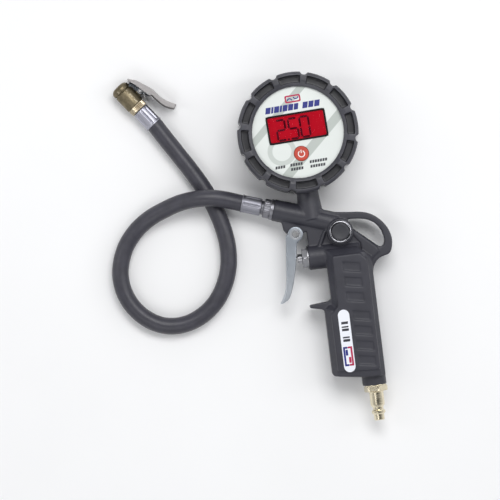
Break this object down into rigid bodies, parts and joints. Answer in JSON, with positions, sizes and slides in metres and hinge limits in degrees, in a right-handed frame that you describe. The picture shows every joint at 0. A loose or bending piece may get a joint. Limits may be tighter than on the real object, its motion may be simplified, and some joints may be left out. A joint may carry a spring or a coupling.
{
  "type": "tyre inflator",
  "caption": "Hand-held tyre inflator pistol with a booted digital gauge, trigger, deflate button, rubber hose and clip-on tyre chuck.",
  "frame": {"origin": "on the ground under the middle of the pistol and gauge, without the hose and chuck", "axes": "+X to the rear of the pistol, +Y from the inlet plug to the gauge, +Z out of the gauge face"},
  "size_m": [0.2263, 0.2961, 0.042],
  "materials": {
    "cast_body": "satin black paint over a die casting",
    "label": "gloss printed sticker",
    "trigger_silver": "satin silver casting",
    "steel": "brushed",
    "plated_steel": "nickel plated",
    "seal_rubber": "matte",
    "inner_brass": "machined",
    "chrome_ring": "polished",
    "button_black": "satin",
    "plug_brass": "bright machined",
    "boot_rubber": "satin rubber",
    "case_plastic": "fine grain",
    "dial_print": "printed film",
    "display_black": "gloss",
    "display_glass": "clear",
    "display_red": "backlit",
    "power_red": "satin",
    "board_green": "solder mask",
    "cell_wrap": "sleeve",
    "ferrule_aluminium": "bright crimped",
    "hose_rubber": "smooth cover",
    "chuck_brass": "machined",
    "dark_steel": "hardened",
    "lever_steel": "zinc plated pressing"
  },
  "bodies": {
    "root": {"gun_body": "cast_body", "handle_label": "label", "trigger_pin": "steel", "trigger_pin_clip": "steel", "gland_nut": "plated_steel", "gland_washer": "plated_steel", "stem_seal": "seal_rubber", "valve_spring": "steel", "bleed_ring": "chrome_ring", "bleed_spring": "steel", "inlet_plug": "plug_brass", "inlet_washer": "plug_brass", "gauge_boot": "boot_rubber", "gauge_case": "case_plastic", "gauge_bezel": "case_plastic", "face_plate": "dial_print", "display_frame": "display_black", "display_window": "display_glass", "display_panel": "display_red", "circuit_board": "board_green", "battery_cells": "cell_wrap", "battery_cover": "case_plastic", "case_screws": "steel", "pressure_sensor": "steel", "gauge_socket": "inner_brass", "socket_seal": "seal_rubber", "outlet_fitting": "plated_steel", "gun_ferrule": "ferrule_aluminium", "hose": "hose_rubber", "chuck_ferrule": "ferrule_aluminium", "chuck_tail": "chuck_brass", "chuck_body": "chuck_brass", "chuck_seal": "seal_rubber", "core_pin": "chuck_brass", "lever_pin": "steel", "lever_spring": "steel"},
    "trigger": {"trigger": "trigger_silver"},
    "valve": {"valve_stem": "steel", "valve_poppet": "inner_brass", "poppet_seal": "seal_rubber"},
    "bleed_valve": {"bleed_button": "button_black", "bleed_stem": "inner_brass", "bleed_seal": "seal_rubber"},
    "power_key": {"power_button": "power_red"},
    "lever": {"chuck_lever": "lever_steel", "chuck_jaw": "dark_steel"}
  },
  "joints": [
    {"name": "trigger_pivot", "type": "hinge", "parent": "root", "child": "trigger", "pos_m": [-0.0197, 0.0138, 0.017], "axis": [0, 0, 1], "range_deg": [0, 12], "stiffness_Nm_per_rad": 0.4, "springref_deg": -5.73},
    {"name": "valve_slide", "type": "slide", "parent": "root", "child": "valve", "axis": [1, 0, 0], "range_m": [0, 0.0042], "deforming": ["valve_spring"]},
    {"name": "bleed_press", "type": "slide", "parent": "root", "child": "bleed_valve", "axis": [0, 0, -1], "range_m": [0, 0.0016], "stiffness_N_per_m": 500, "springref_m": -0.002, "deforming": ["bleed_spring"]},
    {"name": "power_press", "type": "slide", "parent": "root", "child": "power_key", "axis": [0, 0, -1], "range_m": [0, 0.0006], "stiffness_N_per_m": 300, "springref_m": -0.001},
    {"name": "lever_pivot", "type": "hinge", "parent": "root", "child": "lever", "pos_m": [-0.12944, 0.14302, 0.0078], "axis": [0, 0, -1], "range_deg": [0, 15], "stiffness_Nm_per_rad": 0.15, "springref_deg": -5.73, "deforming": ["lever_spring"]}
  ],
  "couplings": [
    {"joint": "valve_slide", "follows": "trigger_pivot", "m_per_rad": 0.0195}
  ]
}
